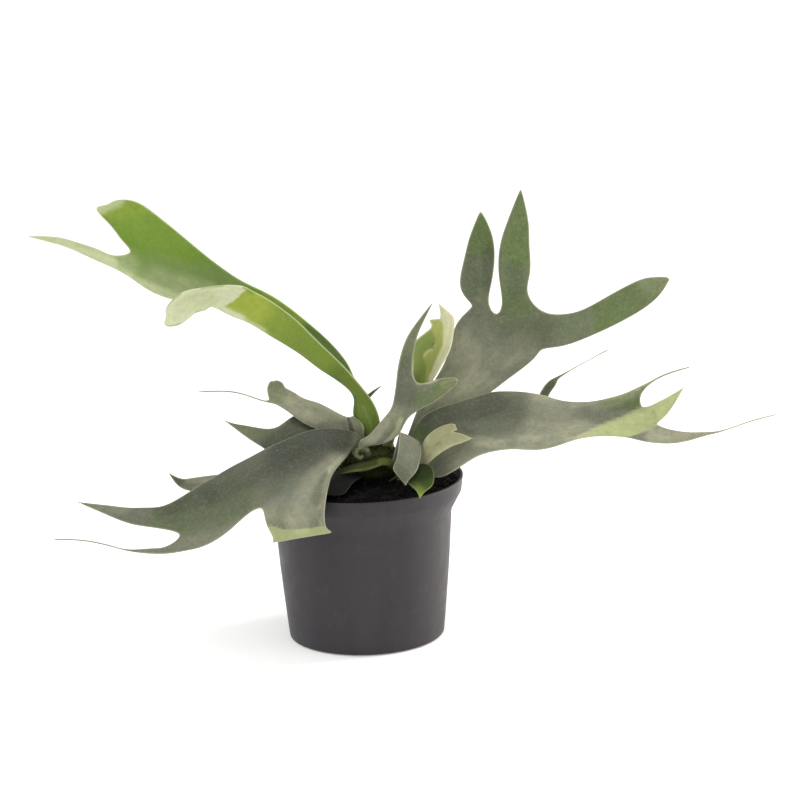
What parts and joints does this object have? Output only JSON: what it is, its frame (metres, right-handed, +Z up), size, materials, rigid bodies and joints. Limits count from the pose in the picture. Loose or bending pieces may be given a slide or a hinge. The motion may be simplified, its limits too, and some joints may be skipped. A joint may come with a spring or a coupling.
{
  "type": "potted staghorn fern",
  "caption": "Staghorn fern: long forked, felted fronds, small shield fronds and a rolled bud on a crown set in soil, in a plain tapered nursery pot with drain holes.",
  "frame": {"origin": "centre of the pot's foot, on the surface that it stands on", "axes": "+Z up, +X to the right and -Y towards the viewer of the picture"},
  "size_m": [0.5016, 0.2277, 0.3112],
  "materials": {
    "frond_grey": "matt grey-green felt of fine hairs",
    "frond_green": "bright green, thinly felted, paler towards the tips",
    "frond_young": "young yellow-green, thinly felted",
    "frond_pale": "pale felted underside",
    "frond_small_green": "soft bright green",
    "shield_green": "green with a paler waved edge",
    "shield_grey": "dark grey-green",
    "bud": "pale and hairy",
    "crown": "dark olive tissue with brown scales",
    "soil": "dark loose potting mix",
    "pot": "dark grey matt plastic with a faint sheen"
  },
  "bodies": {
    "root": {"frond_high_left": "frond_green", "frond_tall_right": "frond_grey", "frond_right": "frond_grey", "frond_front_left": "frond_grey", "frond_centre": "frond_grey", "frond_curled": "frond_young", "frond_left_upper": "frond_grey", "frond_left_low": "frond_grey", "frond_back_small": "frond_grey", "frond_back_right": "frond_grey", "frond_small_cup": "frond_grey", "frond_small_grey": "frond_grey", "frond_small_pale": "frond_pale", "frond_small_green": "frond_small_green", "frond_back_left": "frond_grey", "frond_back": "frond_grey", "frond_back_low": "frond_grey", "shield_front": "shield_green", "shield_left": "shield_grey", "shield_back": "shield_grey", "bud": "bud", "crown": "crown", "soil": "soil", "pot": "pot"}
  },
  "joints": []
}
